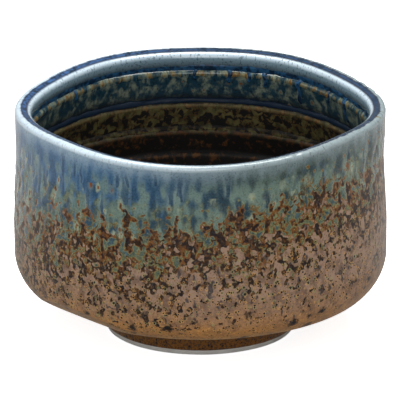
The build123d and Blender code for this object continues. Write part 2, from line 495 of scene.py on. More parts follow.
def bell(distance):
    """1 at no distance, and next to nothing beyond 2."""
    return math.exp(-(distance**2))


def gathering(point):
    """Above zero in the grooves, where glaze gathers, and below it on crests and the lip's edges."""
    thick = sum(bell(abs(point - groove) / GROOVE_REACH) for groove in GROOVES)
    thin = sum(bell(abs(point - edge)) for edge in [*CREST_POINTS, LIP_OUTER, LIP_INNER])
    return thick - thin


def skin(samples, iron, blue=0.0, inside=0.0, pool=0.0):
    """Rows of a section: each sample with the glaze over it."""
    return [(point, air, iron, blue, inside, gathering(point), pool) for point, air in samples]


def hidden(samples):
    """Every fourth sample and both ends, for a face that lies against another piece."""
    return samples[:-1:4] + samples[-1:]


def coat(samples, under, over, blue=0.0, inside=0.0):
    """A closed section between two depths of iron glaze, with the running blue glaze on its front."""
    return skin(samples, over, blue, inside) + skin(hidden(samples), under, 0.0, inside)[::-1]


HUB = 0.001  # radius of the ring that sections are turned on
ROW_ATTRIBUTES = ("iron", "blue", "inside", "gather", "pool")


def linked(name, data):
    """A new object in the scene, with a mesh, a light or a camera."""
    thing = bpy.data.objects.new(name, data)
    bpy.context.scene.collection.objects.link(thing)
    return thing


def section_object(name, rows, closed=True):
    """A line of edges for the turning tree, as long as the section and with its attributes."""
    mesh = bpy.data.meshes.new(name)
    places = [(point.real * MM - HUB, -point.imag * MM, 0) for point, *_ in rows]
    edges = [(i, i + 1) for i in range(len(rows) - 1)]
    if closed:
        edges.append((len(rows) - 1, 0))
    mesh.from_pydata(places, edges, [])
    airs = mesh.attributes.new("air", "FLOAT_VECTOR", "POINT")
    airs.data.foreach_set("vector", [c for _, air, *_ in rows for c in (air.real, 0, air.imag)])
    for column, label in enumerate(ROW_ATTRIBUTES, start=2):
        values = mesh.attributes.new(label, "FLOAT", "POINT")
        values.data.foreach_set("value", [row[column] for row in rows])
    return linked(name, mesh)


# ---------------------------------------------------------------- turning and bending

HAND = {
    "Pinch": ("Float", 0.0),
    "Rim Rise": ("Float", 0.0),
    "Wave": ("Float", 0.0),
    "Flat Centre": ("Vector", None),
    "Flat Normal": ("Vector", None),
}  # sockets of every tree that bends what it makes
STEEP = math.radians(50)  # an edge sharper than this is a crease
POLE = 0.02 * MM  # points nearer to the axis than this are merged into one
POLE_SEAM = 0.05 * MM
RUN_SEAM = 0.005 * MM
POOL_SWELL = 1.6  # millimetres by which a pool's front is uneven


def named_attribute(tree, label, data_type="FLOAT"):
    return node(tree, "GeometryNodeInputNamedAttribute", data_type=data_type, Name=label)


def named_values(tree, *labels):
    return [named_attribute(tree, label) for label in labels]


def compared(value, operation, limit):
    tree = value.tree
    return node(tree, "FunctionNodeCompare", value, limit, data_type="FLOAT", operation=operation)


def stored(geometry, label, value, data_type="FLOAT_VECTOR"):
    """The geometry with a value kept on its points under a name."""
    return node(
        geometry.tree, "GeometryNodeStoreNamedAttribute", geometry,
        data_type=data_type, Name=label, Value=value,
    )


def air_direction(x, y, radius):
    """The direction away from the clay, which a section's points carry, turned with them."""
    air_out, _, air_up = named_attribute(x.tree, "air", "FLOAT_VECTOR").split()
    return node(x.tree, "ShaderNodeCombineXYZ", x / radius * air_out, y / radius * air_out, air_up)


def blue_field(depth, place, inside, wires):
    """What the blue glaze's depth tree says at a place, which is given in metres."""
    line, lean = wires["Line"] / MM, wires["Lean"] / MM
    return group(place.tree, depth, Place=place.scaled(1 / MM), Inside=inside, Line=line, Lean=lean)


def finished(geometry, bend, wires, iron):
    """Turns the faces outwards, bends the piece by hand and shades it smooth."""
    tree = geometry.tree
    outward = node(tree, "GeometryNodeFlipFaces", geometry)
    hand = {label: wires[label] for label in HAND}
    bent = group(tree, bend, Geometry=outward, Iron=iron, **hand)["Geometry"]
    return node(tree, "GeometryNodeSetShadeSmooth", bent, domain="FACE", Shade_Smooth=True)


def with_material(geometry, wires):
    """Ends a tree: no instances are left, and every face has the material."""
    whole = node(geometry.tree, "GeometryNodeRealizeInstances", geometry)
    return node(geometry.tree, "GeometryNodeSetMaterial", whole, Material=wires["Material"])


def wheel_tree():
    """Moves turned points the way the hand bent the bowl: waves, a pinched rim and a trimmed flat."""
    tree, wires, leave = new_tree(
        "Bend by hand",
        "GeometryNodeTree",
        {
            "Geometry": ("Geometry", None),
            "Iron": ("Float", 0.0),
            **HAND,
        },
        {"Geometry": "Geometry"},
    )
    x, y, z = node(tree, "GeometryNodeInputPosition").split()
    radius = off_axis(x, y, NEAR_AXIS)
    across = x / radius
    along = y / radius
    height = z / MM
    across_2 = across * across
    along_2 = along * along
    corners = along_2 * across_2 * across_2 * 4
    ring = node(tree, "ShaderNodeCombineXYZ", across * WALL_RADIUS, along * WALL_RADIUS, height)
    swell = (ring.noise(34, 1.0) - 0.5) * (radius / (40 * MM)).clip() * wires["Wave"] * 2
    bent = radius + swell - wires["Pinch"] * corners * height.rise(44, 74)
    front_right = (across * 0.8 - along * 0.6).clip().math("POWER", 3.0)
    high = across_2 * along_2 * 4 + front_right * 1.2 + along.clip()
    lift = wires["Rim Rise"] * high * height.rise(50, 75)
    thrown = node(tree, "ShaderNodeCombineXYZ", across * bent, along * bent, z + lift)
    placed = node(tree, "GeometryNodeSetPosition", wires["Geometry"], Position=thrown)
    here = node(tree, "GeometryNodeInputPosition")
    from_centre = node(tree, "ShaderNodeVectorMath", here, wires["Flat Centre"], operation="SUBTRACT")
    flat = wires["Flat Normal"]
    dot = raw_node(tree, "ShaderNodeVectorMath", from_centre, flat, operation="DOT_PRODUCT")
    proud = Wire(tree, dot.outputs["Value"]) - wires["Iron"] * MM
    push = proud.math("SMOOTH_MAX", 0.0, 0.5 * MM) * height.rise(FOOT_TOP - 0.3, FOOT_TOP + 4)
    back = flat.lengthened(push * -1.0)
    leave(Geometry=node(tree, "GeometryNodeSetPosition", placed, Offset=back))
    return tree


def turning_tree(bend, depth):
    """Turns a section on the axis, lays its glaze on and bends it."""
    tree, wires, leave = new_tree(
        "Turn a section",
        "GeometryNodeTree",
        {
            "Section": ("Geometry", None),
            "Around": ("Int", 448),
            **HAND,
            **BREAK_LINE,
            "Material": ("Material", None),
        },
        {"Geometry": "Geometry"},
    )
    ring = node(tree, "GeometryNodeCurvePrimitiveCircle", Resolution=wires["Around"], Radius=HUB)
    profile = node(tree, "GeometryNodeMeshToCurve", wires["Section"])
    turned = node(tree, "GeometryNodeCurveToMesh", ring, profile)
    here = node(tree, "GeometryNodeInputPosition")
    marked = stored(turned, "unbent", here)
    iron, blue, inside, pool = named_values(tree, "iron", "blue", "inside", "pool")
    x, y, _ = here.split()
    radius = off_axis(x, y, NEAR_AXIS)
    field = blue_field(depth, here, inside, wires)
    uneven = (field["Spread"].noise(7, 2.0) - 0.45) * pool * POOL_SWELL
    thick = (iron + blue * field["Depth"] + uneven) * MM
    raised = air_direction(x, y, radius).lengthened(thick)
    coated = node(tree, "GeometryNodeSetPosition", marked, Offset=raised)
    at_axis = compared(radius, "LESS_THAN", POLE)
    sewn = node(tree, "GeometryNodeMergeByDistance", coated, Selection=at_axis, Distance=POLE_SEAM)
    smooth = finished(sewn, bend, wires, iron)
    steep = compared(node(tree, "GeometryNodeInputMeshEdgeAngle"), "GREATER_THAN", STEEP)
    creased = node(
        tree, "GeometryNodeSetShadeSmooth", smooth, Selection=steep, domain="EDGE", Shade_Smooth=False
    )
    leave(Geometry=with_material(creased, wires))
    return tree


# ---------------------------------------------------------------- glaze colours

# Lip colours: the first two are a painted highlight on the lip's roundings, dimmer at the right; the
# next two are thin pale glaze with a painted reflection, greyer at the right. The third also paints a
# highlight beside the blue trickles.
LIP_HIGHLIGHT = tone(0xC9D6DE)
LIP_GREY = tone(0x9AA6A8)
PALE_GLAZE_AND_SHEEN = tone(0x9DB0BC)
LIP_DIM = tone(0x8A989A)
DEEP_BLUE = tone(0x27506E)
DEEP_TEAL = tone(0x23404C)
SLATE_RIGHT = tone(0x48564E)
OLIVE = tone(0x8C8A5C)
CORE_BLUE = tone(0x425862)
STREAK_PALE = tone(0x7F9286)
BROWN = tone(0x40290F)
PLUM = tone(0x2E1F20)
BLUE_BLACK = tone(0x34333A)
TAN = tone(0x9E7E62)
# GOLD rims fine specks and also paints the hip's golden band: thin glaze over the curve with a
# painted highlight.
GOLD = tone(0xC89C5C)
UMBER = tone(0x6B5142)
NEAR_BLACK = tone(0x15100D)
PALE_OLIVE = tone(0xA09A68)
HALO_PALE = tone(0xA2A992)
SPOT_RUST = tone(0x84501F)
FOOT_BROWN = tone(0xA4722C)
FOOT_DARK = tone(0x5A3A14)
NAVY = tone(0x10283F)
WET_BLUE = tone(0x2A5A80)
# Pooled glaze low in the cavity, darkened as painted shade.
POOL_DARK = tone(0x0C2034)
LAND_BLUE = tone(0x38526F)
LAND_BRIGHT = tone(0x476C98)
LAND_DARK = tone(0x2A3A4C)
LAND_EDGE = tone(0x4B3C30)
# The inner wall's painted highlight and painted shade; they also make pale flecks on the outer wall
# and dark flecks in the cavity.
INNER_PALE = tone(0x8399A4)
INNER_SHADE = tone(0x2C4450)
BAND_TEAL = tone(0x234A5A)
BAND_OLIVE = tone(0x8A9384)
BAND_BROWN = tone(0x423D1E)
BAND_MOSS = tone(0x6C6742)
BLOTCH = tone(0x0C0704)
BLOTCH_RUST = tone(0x66441A)
# Dark glaze low in the cavity, darkened further as painted shade.
DEPTH_BROWN = tone(0x120B05)
# Tan of the thin glaze on the upper crests, lightened as a painted highlight.
CREST_TAN = tone(0x8A7F58)

DEEPENING = 1.2  # how much firing deepens the glazes' colours
BRIGHTENING = 1.27  # and how much lighter all of them are after that
MATT = 0.36  # roughness of glaze without gloss
GLOSS_DROP = 0.2  # how much smoother glossy glaze is
COAT_ROUGHNESS = 0.06
IRON_CLEAR_COAT = 0.0  # weight of the clear coat on each glaze
BLUE_CLEAR_COAT = 0.5
POOL_ROUGHNESS = 0.5
CLAY_SHADE = 0.85  # brightness of the clay's darker clouds, against the lighter ones


def speck_tree():
    """Scattered spots with pale halos, laid over a colour."""
    tree, wires, leave = new_tree(
        "Spots and halos",
        "ShaderNodeTree",
        {
            "Color": ("Color", None),
            "Spread": ("Vector", None),
            "Spacing": ("Float", 2.4),
            "Core": ("Float", 0.2),
            "Rim": ("Float", 0.5),
            "Share": ("Float", 0.5),
            "Core Color": ("Color", (*NEAR_BLACK, 1.0)),
            "Rim Color": ("Color", (*PALE_OLIVE, 1.0)),
        },
        {"Color": "Color"},
    )
    spacing = wires["Spacing"]
    ragged = wires["Spread"].noise(0.9, 2.0)
    texture = raw_node(
        tree, "ShaderNodeTexVoronoi",
        Vector=wires["Spread"], Scale=spacing.math("POWER", -1.0), Randomness=1.0,
    )
    chance, size, strength = Wire(tree, texture.outputs["Color"]).split()
    distance = Wire(tree, texture.outputs["Distance"]) * spacing / (size + 0.5)
    away = distance + (ragged - 0.5) * wires["Core"] * 2.6
    chosen = chance.math("LESS_THAN", wires["Share"])
    rim = away.fade(wires["Core"], wires["Rim"])
    core = away.fade(wires["Core"] * 0.5, wires["Core"])
    haloed = blend(rim * chosen * (strength * 0.6 + 0.3), wires["Color"], wires["Rim Color"])
    leave(Color=blend(core * chosen, haloed, wires["Core Color"]))
    return tree


def spots(colour, spread, specks, spacing, core, rim, share, core_colour, rim_colour):
    """Lays spots over a colour."""
    placed = group(
        colour.tree, specks, Color=colour, Spread=spread, Spacing=spacing, Core=core, Rim=rim,
        Share=share, Core_Color=(*core_colour, 1.0), Rim_Color=(*rim_colour, 1.0),
    )
    return placed["Color"]


def trickle_tree():
    """Narrow trickles side by side round the bowl, each with a round tip at its own height."""
    tree, wires, leave = new_tree(
        "Trickles",
        "ShaderNodeTree",
        {
            "Place": ("Vector", None),
            "Count": ("Float", 90.0),
            "Lowest": ("Float", 56.0),
            "Highest": ("Float", 64.0),
            "Half Width": ("Float", 0.5),
            "Length": ("Float", 9.0),
            "Share": ("Float", 0.6),
            "Seed": ("Float", 0.0),
        },
        {"Mask": "Float"},
    )
    x, y, z = wires["Place"].split()
    wander = wires["Place"].moved((5, 2, 9)).noise(5.5, 2.0) - 0.5
    cell = (y.math("ARCTAN2", x) / math.tau + 0.5) * wires["Count"] + wander * wires["Count"] / 140
    index = cell.math("FLOOR")
    dice = raw_node(tree, "ShaderNodeTexWhiteNoise", noise_dimensions="1D", W=index + wires["Seed"])
    shift, fall, chance = Wire(tree, dice.outputs["Color"]).split()
    across = (cell - index - 0.5 - (shift - 0.5) * 0.5) * (math.tau * WALL_RADIUS) / wires["Count"]
    tip = wires["Lowest"] + (wires["Highest"] - wires["Lowest"]) * fall
    half = wires["Half Width"] * (shift * 0.7 + 0.65)
    rise = z - tip
    below = (rise - half).math("MINIMUM", 0.0)
    away = (across * across + below * below).math("SQRT")
    body = away.fade(half * 0.55, half * 1.3)
    upper_end = rise.fade(wires["Length"] * 0.25, wires["Length"])
    leave(Mask=body * upper_end * chance.math("LESS_THAN", wires["Share"]))
    return tree


TRICKLES = (
    (0.85, {"Count": 58.0, "Lowest": 51.0, "Highest": 66.0, "Length": 13.0, "Seed": 3.0}),
    (0.55, {"Count": 83.0, "Lowest": 57.0, "Highest": 69.0, "Length": 8.0, "Seed": 40.0}),
)  # half width of each layer's trickles, and their other sizes


def wall_colour_tree(depth, specks, trickle, glaze):
    """Colours of the outer wall: tan iron glaze, dark patches, islands, blue runs above, and some
    painted light.
    """
    tree, wires, leave = new_tree(
        "Wall colours",
        "ShaderNodeTree",
        {
            "Place": ("Vector", None),
            **BREAK_LINE,
            "Slate": ("Color", (*glaze.slate, 1.0)),
            "Celadon": ("Color", (*glaze.celadon, 1.0)),
            "Rust": ("Color", (*glaze.rust, 1.0)),
            "Mauve": ("Color", (*glaze.mauve, 1.0)),
            "Orange": ("Color", (*glaze.orange, 1.0)),
        },
        {"Color": "Color", "Gloss": "Float", "Relief": "Float"},
    )
    line, lean = wires["Line"], wires["Lean"]
    field = group(tree, depth, Place=wires["Place"], Inside=0.0, Line=line, Lean=lean)
    cover, fall, spread, z = field["Cover"], field["Fall"], field["Spread"], field["Height"]
    across = wires["Place"].split()[X] / WALL_RADIUS
    right = across.rise(-0.7, 0.5)
    left = across.rise(-0.3, -0.9)
    cloud = spread.noise(8.0, 2.0)
    grain = spread.noise(0.6, 3.0, 0.65)

    ground = blend((z + cloud * 9).rise(20, 31), wires["Orange"], TAN)
    ground = blend((z + cloud * 6).rise(27, 36), ground, wires["Mauve"])
    # A golden band round the hip: glaze breaking thin over the curve, with a painted highlight along
    # it.
    band = (z + cloud * 2).rise(11.6, 13.4) * (z + cloud * 3).rise(17.5, 14.5)
    ground = blend(band * 0.8, ground, GOLD)
    # Dark brown mottling that grows towards the bottom of the hip: mottled glaze and painted shade
    # under the hip.
    low_mottle_and_shade = spread.moved((2, 8, 1)).noise(1.2, 2.0).rise(0.5, 0.68) * z.rise(20, 12) * 0.6
    ground = blend(low_mottle_and_shade, ground, BROWN)
    shade = spread.moved((1, 61, 5)).noise(3.8, 2.0, 0.6).rise(0.42, 0.66) * z.rise(12, 22) * 0.6
    ground = blend(shade, ground, UMBER)
    smudge = spread.scaled(1, 1, 0.7).moved((11, 3, 7)).noise(2.6, 2.0, 0.5, 0.3)
    ground = blend(smudge.rise(0.58, 0.66) * z.rise(13, 24) * 0.75, ground, BLUE_BLACK)
    blobs = spread.scaled(1, 1, 0.85).noise(1.7, 1.0, 0.5, 0.2)
    cluster = spread.moved((17, 0, 0)).noise(6.0, 1.0) - 0.5
    dark = (blobs + cluster * 0.35 + fall * 0.0082 - 0.39).rise(-0.01, 0.03)
    plum = spread.moved((31, 7, 3)).noise(3.2, 2.0).rise(0.44, 0.56)
    ground = blend(dark * (1.0 - dark) * fall.rise(-34, -20) * 2.8, ground, OLIVE)
    dark_colour = blend(plum, BROWN, PLUM)
    rusty = spread.moved((7, 7, 70)).noise(1.3, 2.0).rise(0.5, 0.64) * 0.6
    dark_colour = blend(rusty, dark_colour, wires["Rust"])
    ground = blend(dark * fall.rise(-42, -30), ground, dark_colour)
    ring_share = fall.rise(-36, -26) * fall.rise(-1, -9) * 0.75
    ground = spots(ground, spread, specks, 1.9, 0.36, 0.66, ring_share, NEAR_BLACK, PALE_OLIVE)
    fine_share = z.rise(11, 17) * fall.rise(-8, -16) * 0.9
    for offset, spacing, core, rim in (((40, 0, 0), 1.6, 0.34, 0.5), ((0, 0, 80), 1.25, 0.28, 0.42)):
        place = spread.moved(offset)
        ground = spots(ground, place, specks, spacing, core, rim, fine_share, NEAR_BLACK, GOLD)
    big_share = z.rise(11, 14) * z.rise(29, 23) * 0.75
    place = spread.moved((0, 30, 0))
    ground = spots(ground, place, specks, 6.5, 1.0, 1.5, big_share, NEAR_BLACK, BROWN)
    outline = cover.rise(-0.34, -0.12) * fall.rise(-24, -8)
    broken = spread.moved((3, 9, 41)).noise(2.8, 2.0).rise(0.3, 0.46)
    ground = blend(outline * broken, ground, wires["Rust"])

    slate = blend(right, wires["Slate"], SLATE_RIGHT)
    colour = blend(cover.rise(0.03, 0.14), OLIVE, wires["Celadon"])
    colour = blend(cover.rise(0.2, 0.55) * (cloud.rise(0.35, 0.6) * 0.5 + 0.5), colour, CORE_BLUE)
    colour = blend(cover.rise(0.7, 1.2), colour, slate)
    soft = spread.scaled(1, 1, 0.5).moved((0, 9, 0)).noise(3.4, 1.5, 0.5)
    window = fall.rise(-4, 5) * z.rise(72, 65)
    colour = blend(soft.rise(0.44, 0.6) * window * (0.8 - left * 0.2), colour, STREAK_PALE)
    deep = blend(right, DEEP_BLUE, DEEP_TEAL)
    colour = blend(soft.rise(0.48, 0.36) * window * 0.7, colour, deep)
    colour = blend(left * window * 0.12, colour, DEEP_BLUE)
    run_share = 0.62 - right * 0.25
    trickles = 0.0
    for half, sizes in TRICKLES:
        layer = {"Place": wires["Place"], "Share": run_share, **sizes}
        # Each trickle gets a pale edge on both sides, a painted highlight, under its darker core.
        run_edge_highlight = group(tree, trickle, **layer, Half_Width=half * 2.4)["Mask"]
        mask = group(tree, trickle, **layer, Half_Width=half)["Mask"]
        colour = blend(run_edge_highlight * 0.18, colour, PALE_GLAZE_AND_SHEEN)
        colour = blend(mask * 0.75, colour, deep)
        trickles = mask + trickles
    net = spread.moved((60, 0, 20)).noise(3.3, 1.5, 0.55, 0.6)
    away = (net + (cloud - 0.5) * 0.12 - 0.5).math("ABSOLUTE")
    netted = fall.rise(10, 1) * fall.rise(-22, -12)
    netted = netted * spread.moved((0, 50, 0)).noise(4.0, 1.0).rise(0.42, 0.5)
    colour = blend(away.rise(0.085, 0.045) * netted * 0.8, colour, OLIVE)
    rusty = spread.moved((7, 7, 70)).noise(2.3, 1.0).rise(0.42, 0.56)
    line_colour = blend(rusty, BROWN, wires["Rust"])
    colour = blend(away.rise(0.05, 0.026) * netted, colour, line_colour)
    # A pale band under the lip, greyer at the right: thin glaze with a painted reflection of the
    # bright studio.
    lip = (z + (soft - 0.5) * 5).rise(68.0, 74.0)
    colour = blend(lip * 0.9, colour, blend(right, PALE_GLAZE_AND_SHEEN, LIP_DIM))
    # A painted highlight along the lip's outer rounding, dimmer and greyer at the right.
    colour = blend(z.rise(72.8, 73.7), colour, blend(right, LIP_HIGHLIGHT, LIP_GREY))
    upper_share = fall.rise(-3, 3) * z.rise(70, 63)
    place = spread.scaled(1, 1, 0.6)
    colour = spots(colour, place, specks, 4.3, 0.55, 1.35, upper_share, SPOT_RUST, HALO_PALE)
    freckle_share = fall.rise(-12, -2) * fall.rise(16, 7) * 0.9
    place = spread.moved((0, 0, 33))
    colour = spots(colour, place, specks, 2.3, 0.34, 0.62, freckle_share, SPOT_RUST, OLIVE)
    colour = blend(cover.rise(-0.03, 0.04), ground, colour)
    foot = z.rise(9.0, 7.6)
    foot_colour = blend(grain.rise(0.4, 0.6), FOOT_DARK, FOOT_BROWN)
    foot_colour = spots(foot_colour, spread, specks, 1.1, 0.26, 0.4, 0.8, NEAR_BLACK, FOOT_DARK)
    colour = blend(foot, colour, foot_colour)
    colour = blend((grain - 0.52).clip() * 2.2, colour, NEAR_BLACK)
    colour = blend((0.47 - grain).clip() * 1.2, colour, INNER_PALE)
    relief = dark * -0.02 + grain * 0.03 + trickles * 0.12 + cloud * 0.1
    relief = relief + cover.clip(-0.2, 0.6) * 0.08
    leave(Color=colour, Gloss=cover.rise(-0.4, 1.0), Relief=relief)
    return tree


def cavity_colour_tree(depth, specks, glaze):
    """Colours of the cavity: painted light under the lip, navy grooves, tan and rust crests, dark
    glaze and painted shade below.
    """
    tree, wires, leave = new_tree(
        "Cavity colours",
        "ShaderNodeTree",
        {
            "Place": ("Vector", None),
            "Gather": ("Float", 0.0),
            "Rust": ("Color", (*glaze.rust, 1.0)),
        },
        {"Color": "Color", "Gloss": "Float", "Relief": "Float"},
    )
    field = group(tree, depth, Place=wires["Place"], Inside=1.0)
    spread, z = field["Spread"], field["Height"]
    gather = wires["Gather"]
    mottle = spread.noise(2.4, 3.0, 0.6, 0.4)
    fine = spread.moved((9, 0, 5)).noise(0.7, 2.0)
    streak = spread.scaled(1, 1, 0.85).noise(3.0, 3.0, 0.6)

    # Low in the cavity: dark glaze with rust mottling, made darker as painted shade.
    low = blend(mottle.rise(0.52, 0.66), DEPTH_BROWN, BLOTCH_RUST)
    low = blend(fine.rise(0.5, 0.62) * 0.6, low, BLOTCH)
    band = blend(streak.rise(0.38, 0.6), BAND_BROWN, BAND_MOSS)
    band = blend((mottle - 0.5).math("ABSOLUTE").rise(0.03, 0.0) * 0.8, band, BLOTCH_RUST)
    band = blend(mottle.rise(0.5, 0.54), band, BLOTCH)
    upper = blend((streak + (mottle - 0.5) * 0.3).rise(0.42, 0.66), BAND_TEAL, BAND_OLIVE)
    upper = blend(mottle.rise(0.52, 0.7) * 0.5, upper, DEEP_TEAL)
    # The upper band darkens to near black above the middle groove: painted shade where the wall leans
    # out over it.
    upper = blend(z.rise(62.0, 58.2) * 0.9, upper, NEAR_BLACK)
    upper = blend(fine.rise(0.55, 0.66) * 0.6, upper, BLOTCH)
    colour = blend((z + mottle * 3).rise(47.5, 49.5), low, band)
    colour = blend((z + mottle * 2).rise(57.0, 58.6), colour, upper)
    # The inner wall under the lip: a painted highlight at the top that fades to painted shade above
    # the upper groove, then a brighter painted highlight on the lip's inner edge.
    wall = blend((z + streak * 1.5).rise(69.6, 72.6), INNER_SHADE, INNER_PALE)
    wall = blend(z.rise(72.2, 73.4), wall, LIP_HIGHLIGHT)
    wall = blend(fine.rise(0.57, 0.66) * 0.5, wall, INNER_SHADE)
    colour = blend((z - mottle * 1.6).rise(67.8, 68.4), colour, wall)
    # Crests: thin glaze, tan with a painted highlight on the upper crests and rust lower down.
    edge = (gather * -1.0 + (mottle - 0.5) * 2.2).rise(0.3, 0.9) * z.rise(72, 70)
    edge_colour = blend((fine + mottle).rise(1.0, 1.25) * 0.8, CREST_TAN, wires["Rust"])
    edge_colour = blend(z.rise(60, 48), edge_colour, BLOTCH_RUST)
    colour = blend(edge * 0.9, colour, edge_colour)
    groove = (gather + (mottle - 0.5) * 1.2).rise(0.25, 0.8)
    wet = blend(fine.rise(0.42, 0.58) * z.rise(60, 66), NAVY, WET_BLUE)
    # Glaze gathered in the grooves: navy high up, near black lower down, where the black is partly
    # painted shade.
    colour = blend(groove * z.rise(50, 60), colour, wet)
    colour = blend(groove * z.rise(60, 50) * 0.8, colour, BLOTCH)
    share = z.rise(70, 66) * z.rise(57, 60) * 0.55
    colour = spots(colour, spread, specks, 4.2, 0.45, 1.0, share, SPOT_RUST, BAND_OLIVE)
    leave(Color=colour, Gloss=z.rise(54, 70) * 2.8 - 2.0, Relief=mottle * 0.06 + fine * 0.02)
    return tree


def surface_tree(wall, cavity):
    """Puts the wall's, the cavity's and the lip's colours together."""
    tree, wires, leave = new_tree(
        "Glazed surface",
        "ShaderNodeTree",
        {
            "Place": ("Vector", None),
            "Inside": ("Float", 0.0),
            "Gather": ("Float", 0.0),
            **BREAK_LINE,
        },
        {"Color": "Color", "Roughness": "Float", "Relief": "Float", "Coat": "Float"},
    )
    outer = group(tree, wall, Place=wires["Place"], Line=wires["Line"], Lean=wires["Lean"])
    inner = group(tree, cavity, Place=wires["Place"], Gather=wires["Gather"])
    x, y, z = wires["Place"].split()
    radius = (x * x + y * y).math("SQRT")
    inside = wires["Inside"]
    strokes = wires["Place"].noise(2.2, 3.0, 0.6, 0.8)
    leftwards = (x / WALL_RADIUS).rise(0.2, -0.9)
    land = blend(strokes.rise(0.34, 0.62), LAND_DARK, blend(leftwards, LAND_BLUE, LAND_BRIGHT))
    rims = radius.rise(58.0, 58.7) + radius.rise(57.6, 57.0)
    land = blend(rims.clip() * (strokes + 0.1).rise(0.5, 0.66) * 0.6, land, LAND_EDGE)
    on_land = radius.rise(56.5, 57.0) * (radius + (strokes - 0.5)).rise(59.2, 58.7)
    on_land = on_land * z.rise(73.0, 73.4)
    colour = blend(on_land, blend(inside, outer["Color"], inner["Color"]), land)
    gloss = outer["Gloss"] + (inner["Gloss"] - outer["Gloss"]) * inside
    relief = outer["Relief"] + (inner["Relief"] - outer["Relief"]) * inside
    colour = node(tree, "ShaderNodeGamma", colour, DEEPENING).scaled(BRIGHTENING)
    coat = 1.0 - inside * z.rise(70, 67)
    leave(Color=colour, Roughness=MATT - gloss * GLOSS_DROP, Relief=relief, Coat=coat)
    return tree


def new_material(name):
    """A new material, its tree, its shader and the place before the bowl was bent, in millimetres."""
    material = bpy.data.materials.new(name)
    material.use_nodes = True
    tree = material.node_tree
    tree.nodes.clear()
    shader = tree.nodes.new("ShaderNodeBsdfPrincipled")
    output = tree.nodes.new("ShaderNodeOutputMaterial")
    tree.links.new(shader.outputs[0], output.inputs["Surface"])
    unbent = raw_node(tree, "ShaderNodeAttribute", attribute_name="unbent")
    place = Wire(tree, unbent.outputs["Vector"]).scaled(1 / MM)
    return material, tree, shader, place


def attribute_value(tree, label):
    return Wire(tree, raw_node(tree, "ShaderNodeAttribute", attribute_name=label).outputs["Fac"])


def bump(tree, shader, relief):
    """Gives a shader a relief that is stated in millimetres."""
    normal = node(tree, "ShaderNodeBump", Strength=1.0, Distance=MM, Height=relief)
    feed(tree, shader.inputs["Normal"], normal)


def glaze_material(name, surface, glaze, coat_weight):
    """A fired glaze that reads the bowl's shared colours."""
    material, tree, shader, place = new_material(name)
    inside, gather = attribute_value(tree, "inside"), attribute_value(tree, "gather")
    line, lean = glaze.line / MM, glaze.lean / MM
    parts = group(tree, surface, Place=place, Inside=inside, Gather=gather, Line=line, Lean=lean)
    feed(tree, shader.inputs["Base Color"], parts["Color"])
    feed(tree, shader.inputs["Roughness"], parts["Roughness"])
    if coat_weight:
        feed(tree, shader.inputs["Coat Weight"], parts["Coat"] * coat_weight)
        shader.inputs["Coat Roughness"].default_value = COAT_ROUGHNESS
    bump(tree, shader, parts["Relief"])
    return material


def pool_material():
    """Thick blue glaze that ran and gathered: navy, wet blue high up and darker low down, partly as
    painted shade.
    """
    material, tree, shader, place = new_material("gathered_blue_glaze")
    mottle = place.noise(1.8, 3.0, 0.6)
    z = place.split()[Z]
    colour = blend(mottle.rise(0.4, 0.6) * z.rise(60, 66), NAVY, WET_BLUE)
    # Darker low in the cavity: dark pooled glaze and painted shade.
    colour = blend(z.rise(64, 60) * 0.8, colour, POOL_DARK)
    feed(tree, shader.inputs["Base Color"], colour)
    feed(tree, shader.inputs["Roughness"], POOL_ROUGHNESS - z.rise(60, 68) * 0.15)
    shader.inputs["Specular IOR Level"].default_value = 0.3
    bump(tree, shader, mottle * 0.08)
    return material


def clay_material(glaze):
    """Bare fired stoneware with fine grit."""
    material, tree, shader, place = new_material("bare_clay")
    grit = place.noise(0.5, 3.0, 0.7)
    cloud = place.noise(6, 2.0)
    shaded = tuple(channel * CLAY_SHADE for channel in glaze.clay)
    colour = blend(cloud.rise(0.3, 0.7), shaded, tuple(glaze.clay))
    colour = blend(grit.rise(0.66, 0.74) * 0.7, colour, BROWN)
    feed(tree, shader.inputs["Base Color"], colour)
    feed(tree, shader.inputs["Roughness"], grit * 0.25 + 0.6)
    bump(tree, shader, grit * 0.08)
    return material


def run_tree(bend, depth):
    """Sweeps a flattened oval down a path on the glaze, as wide and as thick as the path says."""
    tree, wires, leave = new_tree(
        "Run of glaze",
        "GeometryNodeTree",
        {
            "Path": ("Geometry", None),
            "Spokes": ("Int", 14),
            **HAND,
            **BREAK_LINE,
            "Material": ("Material", None),
        },
        {"Geometry": "Geometry"},
    )
    here = node(tree, "GeometryNodeInputPosition")
    rail = node(tree, "GeometryNodeMeshToCurve", stored(wires["Path"], "middle", here))
    ring = node(tree, "GeometryNodeCurvePrimitiveCircle", Resolution=wires["Spokes"], Radius=MM)
    turned = node(tree, "GeometryNodeSplineParameter") * math.tau
    swept = node(tree, "GeometryNodeCurveToMesh", rail, stored(ring, "turn", turned, "FLOAT"))
    middle = named_attribute(tree, "middle", "FLOAT_VECTOR")
    turn, half, bulge, iron, inside = named_values(tree, "turn", "half", "bulge", "iron", "inside")
    x, y, _ = middle.split()
    radius = off_axis(x, y, NEAR_AXIS)
    side = node(tree, "ShaderNodeCombineXYZ", y / radius * -1.0, x / radius, 0.0)
    field = blue_field(depth, middle, inside, wires)
    swell = turn.math("SINE")
    thick = (iron + field["Depth"].math("MAXIMUM", 0.0) + bulge * (swell - 0.35)) * MM
    sideways = side.lengthened(turn.math("COSINE") * half * MM)
    offset = sideways.moved(air_direction(x, y, radius).lengthened(thick))
    shaped = node(tree, "GeometryNodeSetPosition", swept, Position=middle.moved(offset))
    kept = stored(shaped, "unbent", here)
    sewn = node(tree, "GeometryNodeMergeByDistance", kept, Distance=RUN_SEAM)
    leave(Geometry=with_material(finished(sewn, bend, wires, iron), wires))
    return tree


# ---------------------------------------------------------------- making the pieces

_made = {}


